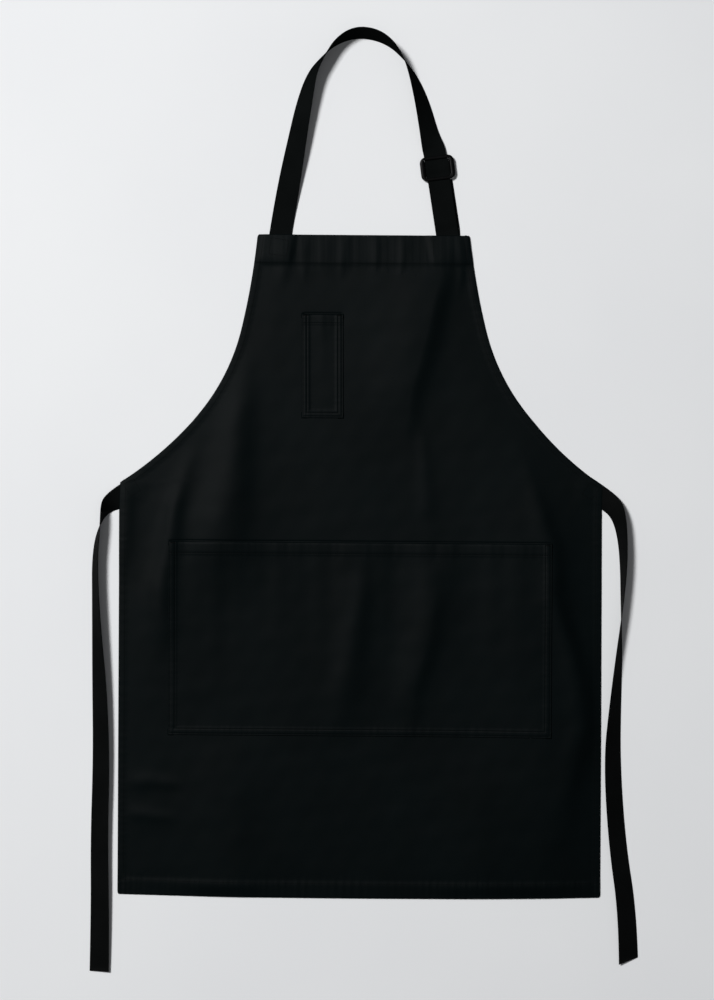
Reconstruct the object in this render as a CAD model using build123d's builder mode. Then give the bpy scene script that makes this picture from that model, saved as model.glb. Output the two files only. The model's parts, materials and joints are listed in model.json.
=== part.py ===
"""Artist smock apron, laid out flat with its front face up.

X runs across the apron, +Y towards the neck and +Z up from the table.  The origin is the
middle of the box round the apron and its neck strap, at the height of the table.
Cloth and webbing are drawn as plain closed solids of the right size and place.
"""
from build123d import *
import math
import os

# ---- Front panel ----
body_width = 603                     # across the hips
bib_width = 265                      # across the top of the bib
bib_top = 284
waist_y = -27                        # where the armhole curve meets the side edge
corner_y = -541.5                    # bottom corners
hem_low_y = -545                     # middle of the gently curved bottom hem
armhole = [(153.0, 165.6), (201.3, 65.6)]      # where its three tangent arcs meet
armhole_start = (0.105, -1)                     # its direction at the bib
cloth = 0.8

# ---- Heights above the table ----
hem_plies = 2.0                      # two turned plies under the panel's edge
bib_lift = 1.8                       # the bib's top edge lies on the strap ends
ramp = (195, 245)                    # where the panel climbs on to the strap ends
panel_top = hem_plies + cloth

# ---- Hems and thread ----
side_hem = 9
top_hem_depth = 34
bottom_hem_depth = 20
top_hem_ply = 1.0
thread_width = 0.8
thread_height = 0.35
edge_gap = 1.5                       # from a hem's inner edge to its stitches

# ---- Pockets ----
pocket_width, pocket_height, pocket_mouth_y = 478, 242, -100
pocket_hem_depth = 16
pen_width, pen_height, pen_mouth_y, pen_x = 52, 130, 185, -48
pen_hem_depth = 13
pocket_room = 6.0                    # how far a pocket's front stands off the panel
pocket_ply = 1.0
pocket_slope, pen_slope = 24, 14     # depth of the ramp at a pocket's sewn bottom
pocket_row_insets = (2, 8)           # from a pocket's edge to its two rows of stitches
mouth_row_inset = 9                  # from a pocket's sides to the ends of its mouth row

# ---- Neck strap ----
strap_width = 28
strap_ply = 0.9
fold_gap = 0.6                       # between the bib's edge and the strap that folds over it
strap_end_z = 1.9                    # underside of the strap where it meets the bib
bight_z = 1.7
slider_strap_z = 3.9                 # underside of the strap where the slider runs
return_z = 0.1
return_ply = 0.6
return_shift = 2.0                   # the under layer lies a little to one side

# ---- Slider ----
slider_width, slider_length = 43, 30
slider_corner = 6
slider_rail = 6.0
slider_bar = 3.75
slider_low, slider_high = 1.6, 7.0
centre_bar_top = 3.0
outer_bar_low = 5.1

# ---- Ties ----
tie_width = 25
tie_ply = 1.0
tie_z = 0.0
slot_clearance = 0.5                 # over the sewn end of a tie
hinge_gap = 0.7                      # each side of the upright bend in a tie
tie_angle = -33                      # of the right tie where it leaves the hem, in degrees
slot_centre, slot_length, slot_margin = (291, -36), 60, 4
tie_sections = 40                    # cross-sections along a tie's free part
sewn_sections = 60                   # and along its sewn part, for each whole length of tie
strap_sections = 64

# ---- Boxes of stitches and bar tacks ----
tie_box_centre, tie_box = (286.5, -33.5), (14, 18)
strap_box_y, strap_box = 268, (22, 20)
tack_inset, tack_drop, tack_length, tack_width = 5.4, 1.5, 4.6, 1.4

# Routes: x, y, height of the lower edge, roll of the tape in degrees.
strap_route = [
    (-101.9, 276.0, strap_end_z, 0), (-97.2, 306.0, 0.3, 0), (-89.0, 352.0, 0.1, -12),
    (-80.5, 398.0, 0.1, -33), (-70.5, 443.0, 0.1, -47), (-58.5, 486.0, 0.1, -67),
    (-40.5, 517.5, 0.1, -90), (-12.5, 537.8, 0.1, -117), (20.5, 537.6, 0.1, -122),
    (46.5, 517.0, 0.1, -104), (63.0, 488.5, 0.1, -77), (76.5, 449.5, 0.1, -58),
    (87.0, 408.0, 1.2, -35), (93.7, 391.5, slider_strap_z, 0),
    (98.6, 358.5, slider_strap_z, 0), (107.0, 303.0, slider_strap_z, 0),
    (111.0, 276.0, bight_z - 0.9, 0)]
left_tie_route = [
    (-279.0, -28.0, tie_z, 0), (-309.5, -47.5, tie_z, 0), (-322.5, -63.5, tie_z, -60),
    (-329.8, -89.0, tie_z, -90), (-333.4, -122.0, tie_z, -105), (-331.6, -168.0, tie_z, -109),
    (-328.8, -222.0, tie_z, -120), (-325.4, -290.0, tie_z, -138), (-323.8, -372.0, tie_z, -146),
    (-326.6, -470.0, tie_z, -151), (-325.6, -560.0, tie_z, -155), (-326.9, -635.5, tie_z, -169)]
right_tie_route = [
    (279.0, -28.0, tie_z, 0), (309.5, -48.0, tie_z, 0), (320.0, -64.0, tie_z, 42),
    (325.2, -90.0, tie_z, 61), (327.0, -128.0, tie_z, 69), (324.6, -180.0, tie_z, 90),
    (321.6, -234.0, tie_z, 109), (316.6, -300.0, tie_z, 125), (312.7, -372.0, tie_z, 146),
    (319.3, -476.0, tie_z, 148), (332.6, -563.0, tie_z, 157), (333.8, -622.5, tie_z, 168)]
left_upright, right_upright = 3, 5    # the route points where the ties stand on edge

body_half = body_width / 2
bib_half = bib_width / 2


# ---- Flat shapes ----
with BuildSketch() as outline:
    with BuildLine():
        Line((bib_half, bib_top), (0, bib_top))
        arc_start, arc_direction = Vector(bib_half, bib_top), Vector(*armhole_start)
        for arc_end in (*armhole, (body_half, waist_y)):
            arc = TangentArc(arc_start, arc_end, tangent=arc_direction)
            arc_start, arc_direction = arc @ 1, arc % 1
        Line((body_half, waist_y), (body_half, corner_y))
        ThreePointArc((body_half, corner_y), (body_half / 2, hem_low_y + 0.9), (0, hem_low_y))
        mirror(about=Plane.YZ)
    make_face()


def edge_band(inner, outer=0):
    """Band of the apron between two distances in from its outline."""
    with BuildSketch() as band:
        if outer:
            offset(outline.sketch, amount=-outer, kind=Kind.INTERSECTION)
        else:
            add(outline.sketch)
        offset(outline.sketch, amount=-inner, kind=Kind.INTERSECTION, mode=Mode.SUBTRACT)
    return band.sketch


def within(face, x_low, x_high, y_low, y_high):
    """The part of a face inside a rectangle."""
    with BuildSketch() as part:
        add(face)
        with Locations(((x_low + x_high) / 2, (y_low + y_high) / 2)):
            Rectangle(x_high - x_low, y_high - y_low, mode=Mode.INTERSECT)
    return part.sketch


def layer(name, face, low, high):
    """Solid over a face, between two heights above the underside of the front panel."""
    with BuildPart() as piece:
        with BuildSketch(Plane.YZ):
            with BuildLine():
                level, lifted = hem_plies, hem_plies + bib_lift
                Polyline((-body_width, level + low), (ramp[0], level + low), (ramp[1], lifted + low),
                         (body_width, lifted + low), (body_width, lifted + high),
                         (ramp[1], lifted + high), (ramp[0], level + high), (-body_width, level + high),
                         close=True)
            make_face()
        extrude(amount=body_width, both=True)
        extrude(face, amount=4 * hem_plies, mode=Mode.INTERSECT)
    return finish(name, piece)


def slab(name, face, low, high):
    """Flat solid over a face, between two heights above the table."""
    with BuildPart() as piece:
        extrude(Plane.XY.offset(low) * face, amount=high - low)
    return finish(name, piece)


def finish(name, piece):
    """Label a piece and write its file."""
    piece.part.label = name
    export_step(piece.part, f"parts/{name}.step")
    return piece


# ---- Ribbons along a route ----
def route_path(route):
    """Straight runs joined by tangent arcs, each as large as its two runs allow."""
    points = [Vector(x, y, 0) for x, y, low, roll in route]
    radii = []
    for before, corner, after in zip(points, points[1:], points[2:]):
        turn = math.radians((corner - before).get_angle(after - corner))
        shorter = min((corner - before).length, (after - corner).length)
        radii.append(0.45 * shorter / math.tan(turn / 2))
    path = FilletPolyline(*points, radius=radii)
    return path, radii


def point_shares(route):
    """Share of the route's runs that lies before each of its points."""
    reached = [0.0]
    for a, b in zip(route, route[1:]):
        reached.append(reached[-1] + math.dist(a[:2], b[:2]))
    return [distance / reached[-1] for distance in reached]


def at_share(route, share, column):
    """Value of a route's column at a share of its length."""
    shares = point_shares(route)
    i = max(k for k in range(len(route) - 1) if shares[k] <= share)
    part = (share - shares[i]) / (shares[i + 1] - shares[i])
    return route[i][column] + part * (route[i + 1][column] - route[i][column])


def tape_plane(route, path, share, width, ply):
    """Plane of the tape's cross-section at a share of its route: x across, z along the tape."""
    along = path.tangent_at(share)
    roll = math.radians(at_share(route, share, 3))
    across = Vector(-along.Y * math.cos(roll), along.X * math.cos(roll), math.sin(roll))
    height = (width * abs(math.sin(roll)) + ply * abs(math.cos(roll))) / 2
    centre = path.position_at(share) + Vector(0, 0, at_share(route, share, 2) + height)
    return Plane(origin=centre, x_dir=across, z_dir=along)


def tape(route, start, end, width, ply, sections):
    """Flat tape that follows part of a route and rolls along it."""
    path, radii = route_path(route)
    with BuildPart() as piece:
        for i in range(sections + 1):
            share = start + (end - start) * i / sections
            with BuildSketch(tape_plane(route, path, share, width, ply)):
                Rectangle(width, ply)
        loft(ruled=True)
    return piece


os.makedirs("parts", exist_ok=True)

# ---- Front panel and its turned hems ----
body_panel = layer("body_panel", outline.sketch, 0, cloth)
top_strip = Pos(0, bib_top) * Rectangle(bib_width - 2 * side_hem, 2 * side_hem + 1)
hem_band = edge_band(side_hem) - top_strip
hem_split_y = waist_y - 5
bottom_hem_top = corner_y + bottom_hem_depth
top_hem = layer("top_hem", within(outline.sketch - hem_band, -bib_half, bib_half,
                                  bib_top - top_hem_depth, bib_top), -top_hem_ply, 0)
bottom_hem = layer("bottom_hem", within(outline.sketch, -body_half, body_half,
                                        hem_low_y - 1, bottom_hem_top), -hem_plies, 0)


def tie_slot(side):
    """Face of the slot in the hems that a sewn tie end lies in."""
    with BuildSketch() as slot:
        with Locations(Location((side * slot_centre[0], slot_centre[1], 0), (0, 0, side * tie_angle))):
            Rectangle(slot_length, tie_width + slot_margin)
    return slot.sketch


def edge_hem(name, side, y_low, y_high, depth):
    """Turned hem along one armhole or side edge, slotted where the tie is caught in it."""
    x_low, x_high = (0, body_half) if side > 0 else (-body_half, 0)
    face = within(hem_band, x_low, x_high, y_low, y_high)
    hem = layer(name, face, -depth, 0)
    with hem:
        extrude(tie_slot(side), amount=tie_ply + slot_clearance, mode=Mode.SUBTRACT)
    return finish(name, hem)


for side, word in ((-1, "left"), (1, "right")):
    edge_hem(f"{word}_armhole_hem", side, hem_split_y, bib_top, top_hem_ply)
    edge_hem(f"{word}_side_hem", side, bottom_hem_top, hem_split_y, hem_plies)


# ---- Pockets ----
def pocket(name, x, width, height, mouth_y, slope):
    """Patch pocket: sewn down on three sides, open towards the neck."""
    low_y = mouth_y - height
    top = panel_top + pocket_room
    with BuildPart() as piece:
        with BuildSketch(Plane.YZ.offset(x)):
            with BuildLine():
                Polyline((low_y, panel_top), (mouth_y, panel_top), (mouth_y, top + cloth),
                         (low_y + slope, top + cloth), (low_y, panel_top + cloth), close=True)
            make_face()
        extrude(amount=width / 2, both=True)
        with BuildSketch(Plane.YZ.offset(x)):
            with BuildLine():
                Polyline((low_y + 1, panel_top), (mouth_y + 1, panel_top), (mouth_y + 1, top),
                         (low_y + slope + 1, top), close=True)
            make_face()
        extrude(amount=width / 2 - cloth, both=True, mode=Mode.SUBTRACT)
    return finish(name, piece)


def pocket_turning(name, x, width, mouth_y, depth):
    """Hem turned in along a pocket's mouth, under its front."""
    face = Pos(x, mouth_y - depth / 2) * Rectangle(width - 2 * cloth, depth)
    top = panel_top + pocket_room
    return slab(name, face, top - pocket_ply, top)


main_pocket = pocket("main_pocket", 0, pocket_width, pocket_height, pocket_mouth_y, pocket_slope)
main_pocket_hem = pocket_turning("main_pocket_hem", 0, pocket_width, pocket_mouth_y, pocket_hem_depth)
pen_pocket = pocket("pen_pocket", pen_x, pen_width, pen_height, pen_mouth_y, pen_slope)
pen_pocket_hem = pocket_turning("pen_pocket_hem", pen_x, pen_width, pen_mouth_y, pen_hem_depth)

# ---- Neck strap ----
left_foot, left_up = strap_route[0], strap_route[1]
right_foot, right_up = strap_route[-2], strap_route[-3]
left_lean = (left_up[0] - left_foot[0]) / (left_up[1] - left_foot[1])
right_lean = (right_up[0] - right_foot[0]) / (right_up[1] - right_foot[1])
sewn_y = 256                         # where the strap ends stop behind the top hem


def strap_x(y, lean, start):
    """Middle of a strap leg at a height up the apron."""
    return start[0] + lean * (y - start[1])


def leg_face(y_low, y_high, lean, start, width=strap_width, shift=0):
    """Slanting piece of strap with its two ends cut level."""
    half = width / 2 * math.sqrt(1 + lean ** 2)
    low = strap_x(y_low, lean, start) + shift
    high = strap_x(y_high, lean, start) + shift
    with BuildSketch() as face:
        with BuildLine():
            Polyline((low - half, y_low), (low + half, y_low), (high + half, y_high),
                     (high - half, y_high), close=True)
        make_face()
    return face.sketch


neck_strap = tape(strap_route, 0, 1, strap_width, strap_ply, strap_sections)
with neck_strap:
    with Locations((0, bib_top + fold_gap + body_half, 0)):
        Box(2 * body_half, 2 * body_half, body_half, mode=Mode.INTERSECT)
finish("neck_strap", neck_strap)

neck_strap_end = slab("neck_strap_end", leg_face(sewn_y, bib_top, left_lean, left_foot),
                      strap_end_z, strap_end_z + strap_ply)

with BuildPart() as strap_bight:
    extrude(leg_face(sewn_y, bib_top, right_lean, right_foot), amount=bight_z + strap_ply)
    with BuildSketch(Plane.XY.offset(return_z + strap_ply)):
        add(leg_face(sewn_y + strap_ply, bib_top, right_lean, right_foot, strap_width + 1))
    extrude(amount=bight_z - return_z - strap_ply, mode=Mode.SUBTRACT)
    extrude(leg_face(sewn_y - 1, bib_top + 1, right_lean, right_foot, strap_width + 1),
            amount=return_z, mode=Mode.SUBTRACT)
finish("strap_bight", strap_bight)

tape_low, tape_high = return_z + strap_ply + 0.1, bight_z - 0.1
anchor_x, anchor_length, anchor_y, anchor_width, anchor_pad = 110, 46, 271, 24, 4
with BuildPart() as anchor_tape:
    with BuildSketch(Plane.XY.offset(tape_low)):
        with Locations((anchor_x, anchor_y)):
            Rectangle(anchor_length, anchor_width)
    extrude(amount=tape_high - tape_low)
    with BuildSketch(Plane.XY.offset(tape_low)):
        for side in (-1, 1):
            with Locations((anchor_x + side * (anchor_length - anchor_pad) / 2, anchor_y)):
                Rectangle(anchor_pad, anchor_width)
    extrude(amount=hem_plies + bib_lift - top_hem_ply - tape_low)
finish("anchor_tape", anchor_tape)

slider_y = 367
slider_x = strap_x(slider_y, right_lean, right_foot)
leg_angle = math.degrees(math.atan(right_lean))
return_top_y = slider_y + 6
strap_return = slab("strap_return",
                    leg_face(bib_top + fold_gap, return_top_y, right_lean, right_foot,
                             shift=return_shift), return_z, return_z + return_ply)


# ---- Slider on the strap ----
def slider_plane(height):
    """Level plane through the slider, with its y along the strap."""
    x_dir = (math.cos(math.radians(leg_angle)), -math.sin(math.radians(leg_angle)), 0)
    return Plane(origin=(slider_x, slider_y, height), x_dir=x_dir, z_dir=(0, 0, 1))


window = (slider_width - 2 * slider_rail, slider_length - 2 * slider_bar)
with BuildPart() as slider_frame:
    with BuildSketch(slider_plane(slider_low)):
        RectangleRounded(slider_width, slider_length, slider_corner)
    extrude(amount=slider_high - slider_low)
    with BuildSketch(slider_plane(slider_low)):
        Rectangle(window[0], slider_length + 1)
    extrude(amount=outer_bar_low - slider_low, mode=Mode.SUBTRACT)
    with BuildSketch(slider_plane(slider_low)):
        Rectangle(*window)
    extrude(amount=slider_high, mode=Mode.SUBTRACT)
    top_edges = slider_frame.faces().sort_by(Axis.Z)[-1].edges()
    fillet(top_edges, radius=0.8)
    with BuildSketch(slider_plane(slider_low)):
        Rectangle(window[0] + 1, slider_bar)
    extrude(amount=centre_bar_top - slider_low)
finish("slider_frame", slider_frame)

loop_wall = 0.5
loop_gap = 0.1
bar_height = centre_bar_top - slider_low
loop_middle = slider_plane(slider_low + bar_height / 2)
with BuildPart() as strap_end_loop:
    loop_section = Plane(origin=loop_middle.origin, x_dir=loop_middle.y_dir, z_dir=loop_middle.x_dir)
    for grow, mode in ((loop_gap + loop_wall, Mode.ADD), (loop_gap, Mode.SUBTRACT)):
        with BuildSketch(loop_section):
            Rectangle(slider_bar + 2 * grow, bar_height + 2 * grow)
        extrude(amount=strap_width / 2 - 1, both=True, mode=mode)
finish("strap_end_loop", strap_end_loop)


# ---- Waist ties ----
for word, route, upright in (("left", left_tie_route, left_upright),
                             ("right", right_tie_route, right_upright)):
    path, radii = route_path(route)
    share = point_shares(route)[upright]
    gap = hinge_gap / path.length
    sewn = tape(route, 0, share - gap, tie_width, tie_ply, round(share * sewn_sections))
    finish(f"{word}_tie_end", sewn)
    free = tape(route, share + gap, 1, tie_width, tie_ply, tie_sections)
    finish(f"{word}_tie", free)
    pivot = path.position_at(share)
    print(f"{word} tie: length {path.length:.1f} mm, upright bend at {pivot.X:.2f}, {pivot.Y:.2f}")
    print("  radii", [round(radius) for radius in radii])
    free_length = (1 - share - gap) * path.length
    by_section = free_length * tie_width * tie_ply
    print(f"  free volume {free.part.volume:.0f}, section times length {by_section:.0f}")

strap_path, strap_radii = route_path(strap_route)
print(f"neck strap: length {strap_path.length:.1f} mm, radii", [round(radius) for radius in strap_radii])


# ---- Sewing thread ----
def strip(x, y, width, height, angle=0):
    """Straight row of stitches."""
    return Location((x, y, 0), (0, 0, angle)) * Rectangle(width, height)


def stitched_box(x, y, width, height, angle=0):
    """Closed rectangular row of stitches."""
    with BuildSketch() as box:
        with Locations(Location((x, y, 0), (0, 0, angle))):
            Rectangle(width, height)
            Rectangle(width - 2 * thread_width, height - 2 * thread_width, mode=Mode.SUBTRACT)
    return box.sketch


def pocket_rows(x, width, height, mouth_y, slope, insets):
    """Rows of stitches down both sides of a pocket and across its bottom."""
    with BuildSketch() as rows:
        for inset in insets:
            row_width, row_low = width - 2 * inset, mouth_y - height + slope + inset
            row_y, row_height = (mouth_y + row_low) / 2, mouth_y - row_low
            with Locations((x, row_y)):
                Rectangle(row_width, row_height)
                Rectangle(row_width - 2 * thread_width, row_height, mode=Mode.SUBTRACT)
            with Locations((x, row_low)):
                Rectangle(row_width, thread_width)
    return rows.sketch


hem_row = edge_band(side_hem - edge_gap + thread_width, side_hem - edge_gap)
top_row_y = bib_top - top_hem_depth + edge_gap
bottom_row_y = bottom_hem_top - edge_gap
inner_half = body_half - side_hem
on_panel = (cloth, cloth + thread_height)
layer("armhole_stitching",
      within(hem_row, -body_half, body_half, waist_y + 8, bib_top - side_hem), *on_panel)
layer("side_stitching", within(hem_row, -body_half, body_half, bottom_row_y + 2, waist_y - 25), *on_panel)
layer("bottom_hem_stitching", strip(0, bottom_row_y, 2 * inner_half, thread_width), *on_panel)
layer("top_hem_stitching", strip(0, top_row_y, bib_width - 22, thread_width), *on_panel)

pocket_face = panel_top + pocket_room + cloth
for name, x, width, height, mouth_y, slope, depth in (
        ("main_pocket", 0, pocket_width, pocket_height, pocket_mouth_y, pocket_slope, pocket_hem_depth),
        ("pen_pocket", pen_x, pen_width, pen_height, pen_mouth_y, pen_slope, pen_hem_depth)):
    rows = pocket_rows(x, width, height, mouth_y, slope, pocket_row_insets)
    slab(f"{name}_stitching", rows, pocket_face, pocket_face + thread_height)
    mouth_row = strip(x, mouth_y - depth + edge_gap, width - 2 * mouth_row_inset, thread_width)
    slab(f"{name}_hem_stitching", mouth_row, pocket_face, pocket_face + thread_height)

bib_face = hem_plies + bib_lift + cloth
left_sewn_x = strap_x(strap_box_y, left_lean, left_foot)
with BuildSketch() as strap_rows:
    add(stitched_box(left_sewn_x, strap_box_y, *strap_box))
    for side in (-1, 1):
        anchor_row_x = anchor_x + side * (anchor_length - anchor_pad) / 2
        add(strip(anchor_row_x, strap_box_y, thread_width, strap_box[0]))
slab("strap_stitching", strap_rows.sketch, bib_face, bib_face + thread_height)

with BuildSketch() as tie_rows:
    for side in (-1, 1):
        add(stitched_box(side * tie_box_centre[0], tie_box_centre[1], *tie_box, side * tie_angle))
slab("tie_stitching", tie_rows.sketch, panel_top, panel_top + thread_height)

with BuildSketch() as tacks:
    for x, width, y in ((0, pocket_width, pocket_mouth_y), (pen_x, pen_width, pen_mouth_y)):
        for side in (-1, 1):
            add(strip(x + side * (width / 2 - tack_inset), y - tack_drop, tack_length, tack_width))
slab("bar_tacks", tacks.sketch, pocket_face, pocket_face + thread_height)

whole = [strap.part.bounding_box() for strap in (neck_strap, body_panel)]
print(f"top edge {whole[0].max.Y:.2f}, bottom edge {whole[1].min.Y:.2f}, tallest {whole[0].max.Z:.2f}")
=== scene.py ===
"""Looks of an artist smock apron in black cotton twill, laid flat with its front face up.

Lengths are in metres.  The cloth is shaped in garment coordinates, square to the apron, and
lay_down() then gives it the slight skew that it was laid down with.
"""
import json
import math

import bpy
import numpy as np
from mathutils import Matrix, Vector


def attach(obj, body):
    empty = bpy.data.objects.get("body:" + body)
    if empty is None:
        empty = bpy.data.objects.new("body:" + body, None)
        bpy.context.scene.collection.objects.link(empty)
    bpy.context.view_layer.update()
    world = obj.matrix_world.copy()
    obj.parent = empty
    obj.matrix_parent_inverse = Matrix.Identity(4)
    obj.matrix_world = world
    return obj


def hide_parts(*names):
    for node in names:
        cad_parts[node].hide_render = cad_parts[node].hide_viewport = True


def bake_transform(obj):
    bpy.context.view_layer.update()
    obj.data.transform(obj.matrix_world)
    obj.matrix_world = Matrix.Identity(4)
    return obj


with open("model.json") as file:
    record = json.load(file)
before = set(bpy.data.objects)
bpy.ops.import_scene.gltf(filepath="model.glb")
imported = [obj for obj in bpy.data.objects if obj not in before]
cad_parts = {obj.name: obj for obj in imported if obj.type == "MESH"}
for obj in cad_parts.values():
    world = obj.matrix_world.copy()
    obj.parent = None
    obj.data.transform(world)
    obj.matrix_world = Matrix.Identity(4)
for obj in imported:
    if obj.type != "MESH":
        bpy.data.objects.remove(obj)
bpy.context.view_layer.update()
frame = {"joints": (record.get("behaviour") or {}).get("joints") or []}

MM = 0.001

# ---- Cut of the apron, as in the CAD part ----
BODY_HALF = 301.5 * MM
BIB_HALF = 132.5 * MM
BIB_TOP = 284 * MM
WAIST_Y = -27 * MM
CORNER_Y = -541.5 * MM
HEM_LOW_Y = -545 * MM
ARMHOLE = [(153.0 * MM, 165.6 * MM), (201.3 * MM, 65.6 * MM), (BODY_HALF, WAIST_Y)]
ARMHOLE_START = (0.105, -1)
SIDE_HEM = 9 * MM
TOP_HEM = 37 * MM
BOTTOM_HEM = 20 * MM
ROW_INSET = 7.5 * MM                 # from a side edge to its row of stitches

# ---- Heights of the cloth above the table ----
CLOTH = 0.8 * MM
FLAT_Z = 1.15 * MM                   # top of the single ply
HEM_RISE = 0.8 * MM                  # of the pressed plies of the top and bottom hems
SIDE_RISE = 0.5 * MM                 # and of the flatter side hems
STRAP_RISE = 1.2 * MM                # of the bib over the sewn strap ends
TIE_RISE = 0.6 * MM
HEM_SOFT, SIDE_SOFT = 2.4 * MM, 3.4 * MM     # half the width of the step at a hem's inner edge
CORNER_ROUND = 3.5 * MM

# ---- Pockets: centre x, half width, mouth y, depth, depth of the mouth's hem ----
MAIN_POCKET = (0.0, 239 * MM, -100 * MM, 242 * MM, 16 * MM)
PEN_POCKET = (-51.5 * MM, 26 * MM, 185 * MM, 130 * MM, 13 * MM)
POCKET_ROWS = (2 * MM, 8 * MM)
PEN_ROWS = (2 * MM, 6.5 * MM)
MOUTH_LINES = np.array([-1.1, -0.3, 0.35, 0.95, 1.5, 2.1, 2.9]) * MM     # extra grid lines at a mouth

# ---- Webbing and tape ----
STRAP_WIDTH, STRAP_PLY = 28 * MM, 0.9 * MM
TIE_WIDTH, TIE_PLY = 25 * MM, 1.0 * MM
RETURN_FOOT = (104.8, 303.0)           # a point, in mm, on the under layer of the right leg
RETURN_LEAN = -0.1514                  # how far that layer leans for each step along y
RETURN_SHIFT, RETURN_PLY = 3.0 * MM, 0.6 * MM
ANCHOR_Y, ANCHOR_WIDTH, ANCHOR_PLY = 271, 24 * MM, 0.4 * MM
SEWN_LOOP_WIDTH, SEWN_LOOP_PLY = 26 * MM, 0.5 * MM
HUMP_WIDTH = 30.2 * MM                 # of the strap where it rises over the slider's middle bar

# Routes, near the CAD part's: x, y and height of the lower edge in mm, then roll in degrees.
STRAP_ROUTE = [
    (-104.7, 258.0, 1.2, 0), (-101.9, 276.0, 1.2, 0), (-97.2, 306.0, 0.3, 0),
    (-89.0, 352.0, 0.1, -12), (-80.3, 398.0, 0.1, -30), (-71.0, 446.0, 0.1, -42),
    (-61.5, 483.0, 0.1, -61), (-48.5, 503.0, 0.1, -75), (-31.5, 523.0, 0.1, -94),
    (-8.0, 534.6, 0.1, -108), (17.0, 532.6, 0.1, -108), (37.5, 521.5, 0.1, -99),
    (53.0, 503.0, 0.1, -86), (65.5, 480.0, 0.1, -65), (76.2, 448.5, 0.1, -47),
    (84.4, 413.0, 0.3, -33), (87.9, 399.5, 2.0, -19), (90.7, 390.5, 3.9, 0), (92.6, 382.0, 3.9, 0),
    (96.4, 358.5, 3.9, 0), (104.8, 303.0, 3.9, 0), (105.9, 296.0, 3.6, 0), (107.2, 288.0, 1.5, 0),
    (109.2, 276.0, 1.35, 0), (112.0, 258.0, 1.35, 0)]
LEFT_TIE_ROUTE = [
    (-279.0, -28.0, 0, 0), (-307.5, -45.5, 0, 0), (-319.8, -61.5, 0, -78),
    (-327.6, -89.0, 0, -108), (-331.2, -122.0, 0, -114), (-330.4, -168.0, 0, -117),
    (-328.4, -222.0, 0, -127), (-325.4, -290.0, 0, -145), (-323.8, -372.0, 0, -153),
    (-326.6, -470.0, 0, -157), (-325.6, -560.0, 0, -162), (-326.9, -635.5, 0, -170)]
RIGHT_TIE_ROUTE = [
    (279.0, -28.0, 0, 0), (309.5, -48.0, 0, 0), (320.0, -64.0, 0, 48),
    (325.2, -90.0, 0, 67), (327.0, -128.0, 0, 76), (324.6, -180.0, 0, 91),
    (321.6, -234.0, 0, 114), (316.6, -300.0, 0, 131), (312.7, -372.0, 0, 152),
    (319.3, -476.0, 0, 155), (332.6, -563.0, 0, 162), (333.8, -622.5, 0, 169)]

# Folds in the cloth: crest line in mm, half widths in mm at its two ends, steepness, and how
# many times wider the fold's left flank is than its right one.
FOLDS = [
    ([(-147, 138), (-152, 98), (-159, 29), (-166, -28), (-173, -95), (-178, -175)], (12, 36), 0.27, 1),
    ([(-212, 18), (-222, -12), (-232, -55), (-240, -100), (-246, -150), (-250, -250)], (9, 19), 0.38, 1),
    ([(-292, -10), (-299, -50), (-303, -100), (-303, -150)], (12, 14), 0.30, 1),
    ([(98, 290), (94, 230), (83, 184), (72, 144), (58, 70), (50, 10)], (17, 11), 0.33, 3.6),
    ([(70, 60), (79, -20), (86, -96)], (8, 12), 0.11, 1),
    ([(9, -102), (-4, -190), (-20, -300), (-24, -350)], (13, 20), 0.20, 1),
    ([(96, -102), (93, -160), (88, -205), (80, -245), (65, -290), (56, -345)], (16, 11), 0.27, 1.7),
    ([(196, 20), (222, -50), (238, -105), (244, -166), (262, -225), (279, -330), (263, -395),
      (236, -490)], (9, 15), 0.30, 1.3),
    ([(-168, -330), (-166, -400), (-160, -500), (-156, -640)], (34, 40), 0.09, 1.3),
    ([(192, 60), (212, -60), (226, -200), (232, -340), (226, -520), (224, -640)], (34, 46), 0.16, 1.8),
    ([(-299, -400), (-262, -398), (-215, -406)], (11, 7), 0.16, 1),
    ([(-299, -439), (-268, -441), (-225, -449)], (10, 7), 0.16, 1),
    ([(150, -352), (142, -420), (150, -600)], (26, 34), 0.07, 1.5),
    ([(-97, 290), (-98, 250), (-104, 215)], (11, 6), 0.13, 1),
    ([(-72, 290), (-73, 250), (-75, 225)], (6, 4), 0.14, 1),
    ([(-50, 290), (-50, 252), (-48, 232)], (8, 5), 0.09, 1),
    ([(-26, 290), (-28, 248), (-30, 226)], (6, 5), 0.13, 1),
    ([(17, 290), (17, 255), (14, 232)], (7, 5), 0.13, 1),
    ([(51, 290), (50, 255), (46, 230)], (7, 5), 0.14, 1),
    ([(119, 290), (120, 250), (118, 205)], (7, 5), 0.14, 1),
    ([(137, 262), (137, 235), (141, 195)], (5, 6), 0.16, 1),
]


# ---- Small helpers ----
def smooth(value):
    """Smooth step from 0 to 1."""
    value = np.clip(value, 0, 1)
    return value * value * (3 - 2 * value)


def band(distance, depth, soft=1.2 * MM):
    """1 within a depth of an edge and 0 further in."""
    return 1 - smooth((distance - depth + soft) / (2 * soft))


def waves(along, pitch, seed):
    """Uneven waves along a line, from -1 to 1."""
    draw = np.random.default_rng(seed)
    total = np.zeros_like(along)
    for stretch, share in ((1.0, 0.5), (0.71, 0.3), (1.63, 0.35), (0.43, 0.15)):
        phase, drift = draw.uniform(0, 2 * math.pi, 2)
        bent = along + 2.5 * pitch * np.sin(along / (9 * pitch) + drift)
        total += share * np.sin(2 * math.pi * bent / (pitch * stretch) + phase)
    return total


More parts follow.
